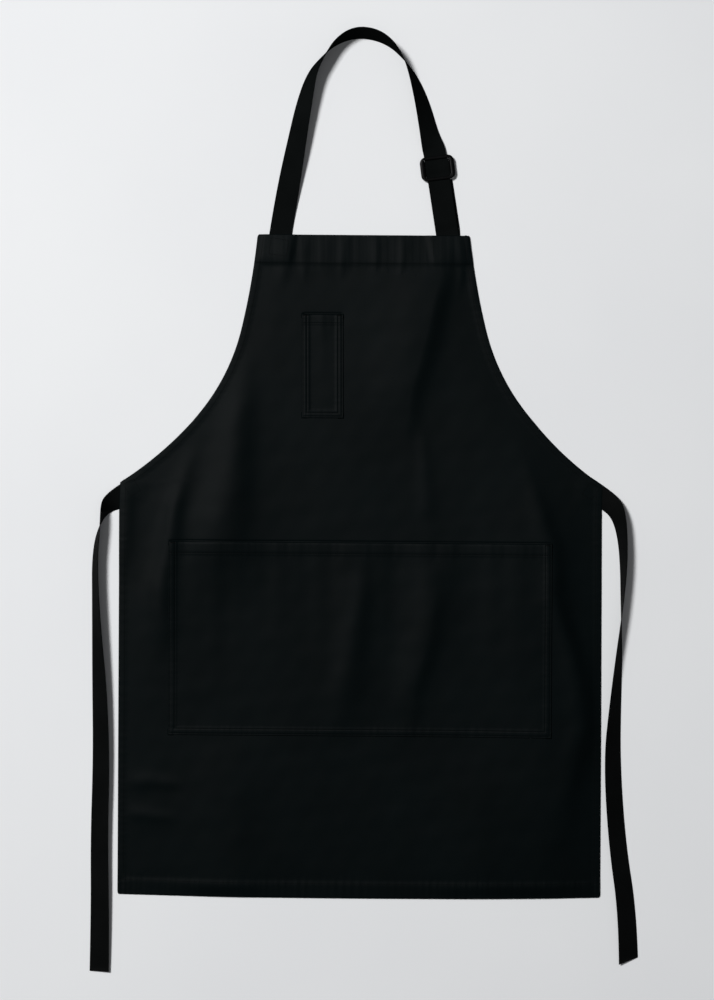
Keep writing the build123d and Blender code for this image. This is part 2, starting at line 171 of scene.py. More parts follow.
def mottle(x, y, size, seed):
    """Soft uneven relief with features of about a size, from -1 to 1."""
    draw = np.random.default_rng(seed)
    total = np.zeros(np.broadcast(x, y).shape)
    for _ in range(9):
        angle, phase = draw.uniform(0, 2 * math.pi, 2)
        length = size * draw.uniform(0.8, 2.2)
        total += np.sin((x * math.cos(angle) + y * math.sin(angle)) * 2 * math.pi / length + phase)
    return total / 5


def mesh_object(name, vertices, faces, uvs=None):
    """Smooth-shaded mesh, with a UV pair for each vertex if they are given."""
    mesh = bpy.data.meshes.new(name)
    mesh.from_pydata(np.asarray(vertices).tolist(), [], [list(map(int, face)) for face in faces])
    mesh.polygons.foreach_set("use_smooth", [True] * len(mesh.polygons))
    if uvs is not None:
        corners = np.empty(len(mesh.loops), dtype=np.int32)
        mesh.loops.foreach_get("vertex_index", corners)
        layer = mesh.uv_layers.new(name="UVMap")
        layer.data.foreach_set("uv", np.asarray(uvs, dtype=np.float32)[corners].ravel())
    mesh.validate()
    obj = bpy.data.objects.new(name, mesh)
    bpy.context.scene.collection.objects.link(obj)
    return obj


def grid_faces(rows, columns, closed=False):
    """Quads of a grid of points; closed joins the last column to the first."""
    index = np.arange(rows * columns).reshape(rows, columns)
    if closed:
        index = np.concatenate([index, index[:, :1]], axis=1)
    corners = [index[:-1, :-1], index[:-1, 1:], index[1:, 1:], index[1:, :-1]]
    return np.stack(corners, axis=-1).reshape(-1, 4)


# ---- Outline ----
def tangent_arc(start, direction, end, steps=40):
    """Points of the arc that leaves start in a direction and reaches end, and its last direction."""
    start, end = np.array(start), np.array(end)
    along = np.array(direction) / np.linalg.norm(direction)
    aside = np.array([-along[1], along[0]])
    chord = end - start
    curve = 2 * chord @ aside / (chord @ chord)
    turn = 2 * math.atan2(chord @ aside, chord @ along)
    angles = np.linspace(0, turn, steps)[:, None]
    points = start + (np.sin(angles) * along + (1 - np.cos(angles)) * aside) / curve
    return points, math.cos(turn) * along + math.sin(turn) * aside


def side_outline():
    """Right side of the outline from the bib's corner down to the hem."""
    start, direction, points = (BIB_HALF, BIB_TOP), ARMHOLE_START, []
    for end in ARMHOLE:
        arc, direction = tangent_arc(start, direction, end)
        points.append(arc)
        start = end
    points.append([(BODY_HALF, HEM_LOW_Y)])
    return np.concatenate(points)


OUTLINE = side_outline()[::-1]


def half_width(y):
    """Half width of the apron at a height."""
    return np.interp(y, OUTLINE[:, 1], OUTLINE[:, 0])


def corner_inset(y):
    """How far the rounding of the corners takes in the sides near the top and the bottom."""
    near = np.minimum(BIB_TOP - y, y - HEM_LOW_Y)
    short = np.clip(CORNER_ROUND - near, 0, CORNER_ROUND)
    return CORNER_ROUND - np.sqrt(CORNER_ROUND ** 2 - short ** 2)


def edge_lean(y):
    """How much longer a level line across a side hem is than the hem's depth."""
    step = 4 * MM
    slope = (half_width(y + step) - half_width(y - step)) / (2 * step)
    return np.sqrt(1 + slope ** 2)


def hem_lean(y):
    """The same, eased to 1 below the corner at the waist."""
    return 1 + smooth((y - WAIST_Y + 6 * MM) / (12 * MM)) * (edge_lean(y) - 1)


def bottom_line(x):
    """Height of the bottom edge, which sags a little to the middle."""
    return HEM_LOW_Y + (CORNER_Y - HEM_LOW_Y) * (x / BODY_HALF) ** 2


def lay_down(x, y):
    """Garment coordinates to the frame's: the slight skew of the apron on the table."""
    skew = np.interp(y, [-0.545, -0.06, 0.05, 0.284], [-2.9 * MM, -0.6 * MM, 3.6 * MM, 3.4 * MM])
    return x + skew, y - 0.0079 * x


# ---- Relief of the cloth ----
def line_distance(x, y, line):
    """Distance to a line, negative to its left, and the share of its length at the nearest place."""
    best = np.full(x.shape, np.inf)
    side = np.ones(x.shape)
    along = np.zeros(x.shape)
    reached = 0.0
    for (ax, ay), (bx, by) in zip(line, line[1:]):
        dx, dy = bx - ax, by - ay
        length = math.hypot(dx, dy)
        share = ((x - ax) * dx + (y - ay) * dy) / length ** 2
        inside = np.clip(share, 0, 1)
        away = np.hypot(x - ax - inside * dx, y - ay - inside * dy)
        nearer = away < best
        best = np.where(nearer, away, best)
        side = np.where(nearer, np.sign(dx * (y - ay) - dy * (x - ax)), side)
        along = np.where(nearer, reached + share * length, along)
        reached += length
    return best * side, along / reached


def fold_relief(x, y):
    """Height of the soft folds: each one starts and ends gently and wanders a little."""
    total = np.zeros(x.shape)
    bent_x = x + 3.0 * MM * mottle(x, y, 80 * MM, 31)
    bent_y = y + 3.0 * MM * mottle(x, y, 80 * MM, 32)
    for crest, widths, steepness, left_flank in FOLDS:
        line = [(px * MM, py * MM) for px, py in crest]
        away, share = line_distance(bent_x, bent_y, line)
        width = (widths[0] + (widths[1] - widths[0]) * np.clip(share, 0, 1)) * MM
        ratio = away / (width * np.where(away < 0, left_flank, 1))
        ends = smooth((share + 0.06) / 0.42) * smooth((1.06 - share) / 0.42)
        profile = 0.75 * np.exp(-ratio ** 2) + 0.25 * np.exp(-(ratio / 2.1) ** 2)
        total += steepness * width * ends * profile
    return total


def strap_bump(x, y):
    """Where the sewn ends of the strap lift the bib: 0 to 1."""
    total = np.zeros(x.shape)
    for middle, half in ((-107.5 * MM, 16 * MM), (108.5 * MM, 22 * MM)):
        lean = 0.155 * (1 if middle < 0 else -1)
        away = np.abs(x - middle - lean * (y - 270 * MM))
        level = smooth((y - 242 * MM) / (16 * MM))
        total = np.maximum(total, level * (1 - smooth((away - half) / (9 * MM))))
    return total


def cloth_top(x, y):
    """Height of the panel's upper face above the table, in garment coordinates."""
    x, y = np.broadcast_arrays(np.asarray(x, float), np.asarray(y, float))
    side = (half_width(y) - np.abs(x)) / edge_lean(y)
    bottom = y - bottom_line(x)
    top = BIB_TOP - y
    ends = np.maximum(band(bottom, BOTTOM_HEM, HEM_SOFT), band(top, TOP_HEM, HEM_SOFT))
    z = FLAT_Z + np.maximum(SIDE_RISE * band(side, SIDE_HEM, SIDE_SOFT), HEM_RISE * ends)
    z = z + STRAP_RISE * strap_bump(x, y)
    tie_end = np.exp(-((np.abs(x) - 288 * MM) / (20 * MM)) ** 4 - ((y + 35 * MM) / (16 * MM)) ** 4)
    z = z + TIE_RISE * tie_end
    calm = smooth(np.minimum(side, bottom) / (42 * MM)) * smooth(top / (30 * MM))
    z = z + fold_relief(x, y) * (0.4 + 0.6 * smooth(np.minimum(side, bottom) / (15 * MM)))
    # Slight unevenness of cloth lying loose, then the puckers that sewing leaves along the hems.
    z = z + (0.5 + 0.4 * mottle(x, y, 105 * MM, 3)) * MM * calm
    z = z + 0.16 * MM * mottle(x, y, 30 * MM, 5) * calm
    z = z + 0.24 * MM * waves(x, 7.6 * MM, 11) * band(bottom, 24 * MM, 6 * MM)
    z = z + 0.10 * MM * waves(y, 9.5 * MM, 12) * band(side, 12 * MM, 4 * MM)
    z = z + 0.09 * MM * waves(x, 13 * MM, 13) * band(top, 42 * MM, 8 * MM)
    # Rows of stitches pull the cloth in, and each pocket mouth stands over a groove.
    z = z - 0.07 * MM * np.exp(-((side - ROW_INSET) / (1.1 * MM)) ** 2)
    for away in (bottom - BOTTOM_HEM + 1.5 * MM, top - TOP_HEM + 1.5 * MM):
        z = z - 0.15 * MM * np.exp(-(away / (1.1 * MM)) ** 2)
    for middle, half, mouth, depth, hem in (MAIN_POCKET, PEN_POCKET):
        beyond = smooth((half - np.abs(x - middle)) / (3 * MM))
        z = z - 0.6 * MM * beyond * np.exp(-((y - mouth - 0.6 * MM) / (1.2 * MM)) ** 2)
    return np.maximum(z, FLAT_Z - 0.2 * MM)


# ---- Grids with turned edges ----
# Inset and drop of the cloth as it rounds an edge, from its underside to its top.
ROUNDED_EDGE = [(2.6, 2.2), (1.1, 2.1), (0.4, 1.75), (0.0, 1.15), (0.12, 0.6), (0.5, 0.22),
                (1.2, 0.05), (2.2, 0.0)]


def edge_steps(drop_scale, lines, turned=None):
    """Insets and drops of the grid lines beside an edge; lines are further insets in mm."""
    steps = [(turned, 2.2)] if turned else []
    steps += ROUNDED_EDGE
    steps += [(inset, 0.0) for inset in lines]
    insets = np.array([inset for inset, drop in steps]) * MM
    drops = np.array([drop for inset, drop in steps]) * MM * drop_scale
    return insets, drops


def ladder(low, high, low_edge, high_edge, spacing):
    """Places and drops of grid lines from one turned edge to the other."""
    inner_low, inner_high = low + low_edge[0][-1], high - high_edge[0][-1]
    count = max(2, round((inner_high - inner_low) / spacing))
    inner = np.linspace(inner_low, inner_high, count + 1)[1:-1]
    places = np.concatenate([low + low_edge[0], inner, high - high_edge[0][::-1]])
    drops = np.concatenate([low_edge[1], np.zeros(len(inner)), high_edge[1][::-1]])
    return places, drops


def cloth_object(name, x, y, z, thickness=CLOTH):
    """Sheet of cloth through a grid of points in garment coordinates, given its thickness."""
    frame_x, frame_y = lay_down(x, y)
    vertices = np.stack([frame_x, frame_y, z], axis=-1).reshape(-1, 3)
    uvs = np.stack([x, y], axis=-1).reshape(-1, 2)
    obj = mesh_object(name, vertices, grid_faces(*x.shape), uvs)
    solid = obj.modifiers.new("thickness", "SOLIDIFY")
    solid.thickness = thickness
    solid.offset = -1
    return obj


def front_panel():
    """The apron's single front panel, its edges rounded over the turned hems."""
    beside = edge_steps(0.75, [3.4, 4.7, 6.0, 6.9, 7.5, 8.1, 9.0, 9.9, 11.2, 13])
    low_edge = edge_steps(0.8, [4, 6, 8, 10.5, 13, 15.5, 17.4, 18.5, 19.6, 21, 23])
    top_edge = edge_steps(0.8, [4, 7, 11, 15, 19, 23, 27, 31, 33.6, 34.7, 35.5, 36.3, 37.6, 39.5])
    rows, row_drops = ladder(HEM_LOW_Y, BIB_TOP, low_edge, top_edge, 2.4 * MM)
    turned = len(ROUNDED_EDGE)
    for mouth in (MAIN_POCKET[2], PEN_POCKET[2]):
        places = turned + np.searchsorted(rows[turned:-turned], mouth + MOUTH_LINES)
        rows = np.insert(rows, places, mouth + MOUTH_LINES)
        row_drops = np.insert(row_drops, places, 0.0)
    middle = 125
    share = np.linspace(-1, 1, 2 * middle + 1)[1:-1]
    side = np.concatenate([-np.ones(len(beside[0])), share, np.ones(len(beside[0]))])
    inset = np.concatenate([beside[0], np.full(len(share), beside[0][-1]), beside[0][::-1]])
    drop = np.concatenate([beside[1], np.zeros(len(share)), beside[1][::-1]])
    y = np.repeat(rows[:, None], len(side), axis=1)
    x = side * (half_width(y) - corner_inset(y) - inset * hem_lean(y))
    near_hem = 1 - smooth((y - HEM_LOW_Y) / (90 * MM))
    y = y + near_hem * (bottom_line(x) - HEM_LOW_Y)
    fall = np.hypot(drop[None, :], row_drops[:, None])
    at_corner = (drop[None, :] > 0) & (row_drops[:, None] > 0)
    lowest = np.where(at_corner, CLOTH + 0.05 * MM, 0.45 * MM)
    z = np.maximum(cloth_top(x, y) - np.minimum(fall, 1.8 * MM), lowest)
    return cloth_object("front_panel", x, y, z)


def pocket_top(x, y, pocket):
    """Height of a pocket's face, in garment coordinates."""
    middle, half, mouth, depth, hem = pocket
    side = half - np.abs(x - middle)
    bottom = y - mouth + depth
    top = mouth - y
    edge = np.minimum(side, bottom)
    room = smooth(edge / (40 * MM)) * smooth(1 - top / (depth * 0.9))
    gape = smooth(side / (45 * MM)) * np.exp(-(top / (26 * MM)) ** 2)
    z = cloth_top(x, y) + 0.95 * MM + 0.55 * MM * band(edge, 9.5 * MM)
    z = z + 0.45 * MM * band(top, hem) - 0.4 * MM * smooth(1 - top / (3 * MM))
    z = z + (0.7 + 0.5 * waves(x, 95 * MM, 25)) * MM * gape
    z = z + (0.9 + 0.6 * waves(x, 75 * MM, 21)) * MM * room
    z = z + 0.13 * MM * waves(x, 8.5 * MM, 22) * band(bottom, 13 * MM, 4 * MM)
    z = z + 0.11 * MM * waves(y, 8.5 * MM, 23) * band(side, 13 * MM, 4 * MM)
    z = z + 0.10 * MM * waves(x, 10 * MM, 24) * band(top, 20 * MM, 4 * MM)
    rows = PEN_ROWS if half < 100 * MM else POCKET_ROWS
    for row in rows:
        z = z - 0.42 * MM * np.exp(-((edge - row) / (0.75 * MM)) ** 2)
    z = z - 0.3 * MM * np.exp(-((top - hem + 1.5 * MM) / (0.8 * MM)) ** 2)
    return z


def patch_pocket(name, pocket):
    """Patch pocket whose edges are turned under and sewn down on three sides."""
    middle, half, mouth, depth, hem = pocket
    sewn = edge_steps(0.62, [2.9, 3.8, 5.3, 6.0, 6.6, 7.2, 7.7, 8.1, 8.6, 9.3, 10.6, 12.4], turned=7)
    mouth_lines = [3.5, 5.5, 8, 10] + [hem / MM + step for step in (-2.9, -2.2, -1.5, -0.8, -0.1, 1.2, 3)]
    open_edge = edge_steps(0.62, mouth_lines, turned=5)
    rows, row_drops = ladder(mouth - depth, mouth, sewn, open_edge, 2.4 * MM)
    columns, column_drops = ladder(middle - half, middle + half, sewn, sewn, 2.4 * MM)
    x, y = np.meshgrid(columns, rows)
    fall = np.minimum(np.hypot(column_drops[None, :], row_drops[:, None]), 1.4 * MM)
    z = pocket_top(x, y, pocket) - fall
    return cloth_object(name, x, y, z, 0.7 * MM)


def under_ply(name, x_low, x_high, y_low, y_high, height):
    """Turned ply of a hem, hidden under a face whose height is given."""
    x, y = np.meshgrid(np.linspace(x_low, x_high, round((x_high - x_low) / (3 * MM)) + 2),
                       np.linspace(y_low, y_high, 9))
    fold = np.abs(np.linspace(-1, 1, 9))[:, None] ** 6
    z = height(x, y) - 0.12 * MM * fold
    return cloth_object(name, x, y, z, 0.7 * MM)


# ---- Ribbons ----
def spline_points(points, resolution=24):
    """Points along the NURBS spline whose control points are given."""
    curve = bpy.data.curves.new("route", "CURVE")
    curve.dimensions = "3D"
    curve.resolution_u = resolution
    spline = curve.splines.new("NURBS")
    spline.points.add(len(points) - 1)
    for control, place in zip(spline.points, points):
        control.co = (*place, 1)
    spline.order_u = 3
    spline.use_endpoint_u = True
    carrier = bpy.data.objects.new("route", curve)
    mesh = bpy.data.meshes.new_from_object(carrier)
    line = np.array([vertex.co for vertex in mesh.vertices])
    bpy.data.objects.remove(carrier)
    bpy.data.curves.remove(curve)
    bpy.data.meshes.remove(mesh)
    return line


def route_line(route, width, ply):
    """Centres and across directions of a tape that follows a route and rolls along it."""
    line = spline_points([(x * MM, y * MM, low * MM) for x, y, low, roll in route])
    rolls = spline_points([(x * MM, y * MM, roll * MM) for x, y, low, roll in route])[:, 2]
    roll = np.radians(rolls / MM)
    along = np.gradient(line[:, :2], axis=0)
    along /= np.linalg.norm(along, axis=1)[:, None]
    across = np.stack([-along[:, 1] * np.cos(roll), along[:, 0] * np.cos(roll), np.sin(roll)], axis=1)
    centres = line.copy()
    centres[:, 2] += (width * np.abs(np.sin(roll)) + ply * np.abs(np.cos(roll))) / 2
    return centres, across


def ribbon(name, centres, across, width, ply, slant=0.0):
    """Closed flat tape with thin rounded edges; slant is how far its last end is cut on the skew."""
    places = np.array([-1, -0.985, -0.95, -0.88, -0.75, -0.55, -0.3, 0])
    places = np.concatenate([places, -places[-2::-1]])
    half = ply / 2 * np.sqrt(1 - np.abs(places) ** 16) * (1 - 0.12 * (1 - np.abs(places)) ** 2)
    upper = np.stack([places, half], axis=1)
    lower = np.stack([places, -half], axis=1)[-2:0:-1]
    section = np.concatenate([upper, lower])
    along = np.gradient(centres, axis=0)
    along /= np.linalg.norm(along, axis=1)[:, None]
    across = across / np.linalg.norm(across, axis=1)[:, None]
    normal = np.cross(along, across)
    normal /= np.linalg.norm(normal, axis=1)[:, None]
    aside = section[:, 0] * width / 2
    lift = section[:, 1]
    points = (centres[:, None, :] + across[:, None, :] * aside[None, :, None]
              + normal[:, None, :] * lift[None, :, None])
    fade = np.clip(1 - np.arange(len(centres))[::-1] / 4, 0, 1)
    points += along[:, None, :] * (fade[:, None] * section[None, :, 0] * slant)[..., None]
    travelled = np.concatenate([[0], np.cumsum(np.linalg.norm(np.diff(centres, axis=0), axis=1))])
    uvs = np.stack(np.broadcast_arrays(aside[None, :], travelled[:, None]), axis=-1)
    count = len(section)
    faces = grid_faces(len(centres), count, closed=True).tolist()
    faces.append(list(range(count)))
    faces.append(list(range((len(centres) - 1) * count, len(centres) * count))[::-1])
    return mesh_object(name, points.reshape(-1, 3), faces, uvs.reshape(-1, 2))


# ---- Stitches ----
def stitch_rows(name, rows, height, pitch=3.0 * MM, thick=0.55 * MM, share=0.74):
    """Lockstitches along lines in garment coordinates, on a face whose height is given."""
    rings, sides = 6, 7
    shares = np.linspace(-0.5, 0.5, rings)
    bulge = np.sqrt(np.maximum(1 - (2 * shares) ** 4, 0.04))
    angles = np.linspace(0, 2 * math.pi, sides, endpoint=False)
    vertices, faces = [], []
    for row in rows:
        row = np.array(row)
        reached = np.concatenate([[0], np.cumsum(np.linalg.norm(np.diff(row, axis=0), axis=1))])
        count = max(1, round(reached[-1] / pitch))
        for i in range(count):
            middle = (i + 0.5) * reached[-1] / count
            length = reached[-1] / count * share
            at = np.clip(middle + shares * length, 0, reached[-1])
            centre = np.stack([np.interp(at, reached, row[:, axis]) for axis in (0, 1)], axis=1)
            along = centre[-1] - centre[0]
            along = along / max(np.linalg.norm(along), 1e-9)
            aside = np.array([-along[1], along[0]])
            z = height(centre[:, 0], centre[:, 1]) + thick * (0.32 * bulge - 0.22)
            offset = np.cos(angles)[None, :, None] * aside * (thick / 2) * bulge[:, None, None]
            flat = centre[:, None, :] + offset
            top = z[:, None] + np.sin(angles)[None, :] * (thick / 2) * bulge[:, None]
            x, y = lay_down(flat[..., 0], flat[..., 1])
            start = len(vertices) * rings * sides
            vertices.append(np.stack([x, y, top], axis=-1).reshape(-1, 3))
            faces.append(grid_faces(rings, sides, closed=True) + start)
    return mesh_object(name, np.concatenate(vertices), np.concatenate(faces))


def level_row(x_low, x_high, y):
    """Straight line of points across the apron."""
    return [(x, y) for x in np.linspace(x_low, x_high, 60)]


def hem_row(side, y_high, y_low):
    """Line of points down an armhole and a side edge."""
    y = np.linspace(y_high, y_low, 260)
    return np.stack([side * (half_width(y) - ROW_INSET * hem_lean(y)), y], axis=1)


def box_row(x, y, width, height, angle=0.0):
    """Closed box of points, turned by an angle."""
    corners = np.array([(-1, -1), (1, -1), (1, 1), (-1, 1), (-1, -1)]) * (width / 2, height / 2)
    c, s = math.cos(angle), math.sin(angle)
    turned = corners @ np.array([[c, s], [-s, c]])
    return turned + (x, y)


def pocket_side_rows(pocket, insets):
    """Rows down both sides of a pocket and across its bottom."""
    middle, half, mouth, depth, hem = pocket
    rows = []
    for inset in insets:
        left, right, low = middle - half + inset, middle + half - inset, mouth - depth + inset
        rows.append([(left, mouth - 1 * MM), (left, low), (right, low), (right, mouth - 1 * MM)])
    return rows


# ---- Materials ----
class Nodes:
    """Short spelling for a material's node tree."""

    def __init__(self, name):
        self.material = bpy.data.materials.new(name)
        self.material.use_nodes = True
        self.tree = self.material.node_tree
        self.shader = self.tree.nodes["Principled BSDF"]

    def add(self, kind, **settings):
        node = self.tree.nodes.new(kind)
        for key, value in settings.items():
            if hasattr(node, key):
                setattr(node, key, value)
            else:
                node.inputs[key.replace("_", " ")].default_value = value
        return node

    def link(self, source, target):
        self.tree.links.new(source, target)

    def maths(self, operation, first, second=None, third=None):
        node = self.add("ShaderNodeMath", operation=operation)
        for socket, value in zip(node.inputs, (first, second, third)):
            if value is None:
                continue
            if isinstance(value, (int, float)):
                socket.default_value = value
            else:
                self.link(value, socket)
        return node.outputs[0]

    def ramp(self, factor, dark, light, low=0.0, high=1.0):
        node = self.add("ShaderNodeValToRGB")
        node.color_ramp.elements[0].position = low
        node.color_ramp.elements[0].color = (*dark, 1)
        node.color_ramp.elements[1].position = high
        node.color_ramp.elements[1].color = (*light, 1)
        self.link(factor, node.inputs[0])
        return node.outputs[0]


def twill_height(nodes, u, v, pitch, lean):
    """Diagonal ribs of a twill: 0 to 1 across each rib."""
    turned = nodes.maths("ADD", u, nodes.maths("MULTIPLY", v, lean))
    phase = nodes.maths("MULTIPLY", turned, 2 * math.pi / pitch)
    return nodes.maths("MULTIPLY_ADD", nodes.maths("SINE", phase), 0.5, 0.5)


def cloth_material():
    """Black cotton twill: fine diagonal ribs, slight slubs and a dry, faintly fuzzy face."""
    nodes = Nodes("black_cotton_twill")
    place = nodes.add("ShaderNodeTexCoord").outputs["Object"]
    split = nodes.add("ShaderNodeSeparateXYZ")
    nodes.link(place, split.inputs[0])
    drift = nodes.add("ShaderNodeTexNoise", Scale=160.0, Detail=2.0)
    nodes.link(place, drift.inputs["Vector"])
    wander = nodes.maths("MULTIPLY", nodes.maths("SUBTRACT", drift.outputs[0], 0.5), 0.0006)
    u = nodes.maths("ADD", split.outputs[0], wander)
    ribs = twill_height(nodes, u, split.outputs[1], 0.75 * MM, 0.62)
    yarn = twill_height(nodes, split.outputs[1], u, 0.42 * MM, 0.0)
    slubs = nodes.add("ShaderNodeTexNoise", Scale=900.0, Detail=3.0, Roughness=0.6)
    nodes.link(place, slubs.inputs["Vector"])
    weave = nodes.maths("ADD", nodes.maths("MULTIPLY", ribs, 0.7), nodes.maths("MULTIPLY", yarn, 0.15))
    weave = nodes.maths("MULTIPLY_ADD", slubs.outputs[0], 0.35, weave)
    bump = nodes.add("ShaderNodeBump", Strength=0.5, Distance=0.00008)
    nodes.link(weave, bump.inputs["Height"])
    nodes.link(bump.outputs[0], nodes.shader.inputs["Normal"])
    patches = nodes.add("ShaderNodeTexNoise", Scale=9.0, Detail=5.0, Roughness=0.6)
    nodes.link(place, patches.inputs["Vector"])
    tone = nodes.maths("MULTIPLY_ADD", patches.outputs[0], 0.8, nodes.maths("MULTIPLY", weave, 0.25))
    colour = nodes.ramp(tone, (0.0001, 0.0011, 0.0013), (0.0006, 0.0024, 0.0028), 0.25, 0.85)
    nodes.link(colour, nodes.shader.inputs["Base Color"])
    rough = nodes.maths("MULTIPLY_ADD", slubs.outputs[0], 0.1, 0.49)
    nodes.link(rough, nodes.shader.inputs["Roughness"])
    nodes.shader.inputs["Specular IOR Level"].default_value = 0.05
    return nodes.material


def tape_material(name, dark, light, pitch, herringbone, rough_base, shine):
    """Woven tape: ribs that run along it, or a herringbone that turns at its middle."""
    nodes = Nodes(name)
    split = nodes.add("ShaderNodeSeparateXYZ")
    nodes.link(nodes.add("ShaderNodeTexCoord").outputs["UV"], split.inputs[0])
    place = nodes.add("ShaderNodeTexCoord").outputs["Object"]
    across, along = split.outputs[0], split.outputs[1]
    if herringbone:
        zigzag = nodes.maths("PINGPONG", nodes.maths("ADD", across, 0.05), 6.25 * MM)
        ribs = twill_height(nodes, along, zigzag, pitch, 1.1)
    else:
        ribs = twill_height(nodes, across, along, pitch, 0.0)
    picks = twill_height(nodes, along, across, 0.8 * MM, 0.0)
    fibres = nodes.add("ShaderNodeTexNoise", Scale=1100.0, Detail=3.0)
    nodes.link(place, fibres.inputs["Vector"])
    weave = nodes.maths("ADD", nodes.maths("MULTIPLY", ribs, 0.65), nodes.maths("MULTIPLY", picks, 0.3))
    weave = nodes.maths("MULTIPLY_ADD", fibres.outputs[0], 0.3, weave)
    bump = nodes.add("ShaderNodeBump", Strength=0.5, Distance=0.00016)
    nodes.link(weave, bump.inputs["Height"])
    nodes.link(bump.outputs[0], nodes.shader.inputs["Normal"])
    patches = nodes.add("ShaderNodeTexNoise", Scale=22.0, Detail=4.0)
    nodes.link(place, patches.inputs["Vector"])
    tone = nodes.maths("MULTIPLY_ADD", patches.outputs[0], 0.7, nodes.maths("MULTIPLY", weave, 0.3))
    nodes.link(nodes.ramp(tone, dark, light, 0.25, 0.85), nodes.shader.inputs["Base Color"])
    rough = nodes.maths("MULTIPLY_ADD", fibres.outputs[0], 0.15, rough_base)
    nodes.link(rough, nodes.shader.inputs["Roughness"])
    nodes.shader.inputs["Specular IOR Level"].default_value = shine
    return nodes.material


def thread_material():
    """Black sewing thread: twisted, a little shinier than the cloth."""
    nodes = Nodes("black_thread")
    place = nodes.add("ShaderNodeTexCoord").outputs["Object"]
    twist = nodes.add("ShaderNodeTexNoise", Scale=2200.0, Detail=1.0)
    nodes.link(place, twist.inputs["Vector"])
    bump = nodes.add("ShaderNodeBump", Strength=0.4, Distance=0.0001)
    nodes.link(twist.outputs[0], bump.inputs["Height"])
    nodes.link(bump.outputs[0], nodes.shader.inputs["Normal"])
    colour = nodes.ramp(twist.outputs[0], (0.0005, 0.0006, 0.0006), (0.0020, 0.0023, 0.0023), 0.3, 0.7)
    nodes.link(colour, nodes.shader.inputs["Base Color"])
    nodes.shader.inputs["Roughness"].default_value = 0.55
    nodes.shader.inputs["Specular IOR Level"].default_value = 0.04
    return nodes.material


def plastic_material():
    """Moulded black plastic: satin, with a fine mould texture and faint rub marks."""
    nodes = Nodes("black_plastic")
    place = nodes.add("ShaderNodeTexCoord").outputs["Object"]
    grain = nodes.add("ShaderNodeTexNoise", Scale=700.0, Detail=3.0)
    nodes.link(place, grain.inputs["Vector"])
    bump = nodes.add("ShaderNodeBump", Strength=0.15, Distance=0.0001)
    nodes.link(grain.outputs[0], bump.inputs["Height"])
    nodes.link(bump.outputs[0], nodes.shader.inputs["Normal"])
    rubs = nodes.add("ShaderNodeTexNoise", Scale=120.0, Detail=6.0, Roughness=0.7)
    nodes.link(place, rubs.inputs["Vector"])
    colour = nodes.ramp(rubs.outputs[0], (0.0006, 0.0007, 0.0008), (0.0018, 0.0020, 0.0021), 0.35, 0.8)
    nodes.link(colour, nodes.shader.inputs["Base Color"])
    rough = nodes.maths("MULTIPLY_ADD", rubs.outputs[0], 0.12, 0.28)
    nodes.link(rough, nodes.shader.inputs["Roughness"])
    nodes.shader.inputs["Specular IOR Level"].default_value = 0.05
    return nodes.material


def floor_material():
    """Pale matt studio paper."""
    nodes = Nodes("pale_paper")
    place = nodes.add("ShaderNodeTexCoord").outputs["Object"]
    clouds = nodes.add("ShaderNodeTexNoise", Scale=2.2, Detail=5.0)
    nodes.link(place, clouds.inputs["Vector"])
    colour = nodes.ramp(clouds.outputs[0], (0.765, 0.775, 0.79), (0.80, 0.81, 0.82), 0.3, 0.7)
    nodes.link(colour, nodes.shader.inputs["Base Color"])
    nodes.shader.inputs["Roughness"].default_value = 0.9
    nodes.shader.inputs["Specular IOR Level"].default_value = 0.2
    return nodes.material


# ---- Putting pieces in place ----
def place_piece(obj, material, nodes=(), body="root"):
    """Give a piece its material, its body and the CAD nodes that it stands for."""
    obj.data.materials.clear()
    obj.data.materials.append(material)
    if nodes:
        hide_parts(*nodes)
    if isinstance(body, str):
        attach(obj, body)
    else:
        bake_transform(obj)
    return obj


TWILL = cloth_material()
WEBBING = tape_material("black_webbing", (0.0022, 0.0027, 0.0027), (0.0050, 0.0058, 0.0058),
                        1.4 * MM, False, 0.5, 0.0)
TAPE = tape_material("black_herringbone_tape", (0.0020, 0.0023, 0.0023), (0.0044, 0.0048, 0.0048),
                     1.5 * MM, True, 0.55, 0.008)
THREAD = thread_material()
PLASTIC = plastic_material()


def make_panel_and_hems():
    """Front panel with the turned plies of its hems."""
    panel = place_piece(front_panel(), TWILL, ["body_panel"])

    def under(x, y):
        return cloth_top(x, y) - CLOTH - 0.1 * MM

    top = under_ply("top_hem_turning", -BIB_HALF + 4 * MM, BIB_HALF - 4 * MM,
                    BIB_TOP - TOP_HEM + 1.2 * MM, BIB_TOP - 3 * MM, under)
    place_piece(top, TWILL, ["top_hem"])
    bottom = under_ply("bottom_hem_turning", -BODY_HALF + 10 * MM, BODY_HALF - 10 * MM,
                       CORNER_Y + 3 * MM, CORNER_Y + BOTTOM_HEM - 4.5 * MM, under)
    place_piece(bottom, TWILL, ["bottom_hem"])
    for side, word in ((-1, "left"), (1, "right")):
        for part, y_high, y_low in (("armhole_hem", BIB_TOP - 4 * MM, WAIST_Y - 2 * MM),
                                    ("side_hem", WAIST_Y - 5 * MM, CORNER_Y + 6 * MM)):
            y = np.linspace(y_high, y_low, 150)
            slope = np.gradient(half_width(y), y)
            x = side * (half_width(y) - 5.2 * MM * hem_lean(y))
            z = cloth_top(x, y) - CLOTH - 0.3 * MM
            placed_x, placed_y = lay_down(x, y)
            across = np.stack([np.ones_like(y), -side * slope, np.zeros_like(y)], axis=1)
            strip = ribbon(f"{word}_{part}_turning", np.stack([placed_x, placed_y, z], axis=1),
                           across, 7.4 * MM, 0.4 * MM)
            place_piece(strip, TWILL, [f"{word}_{part}"])


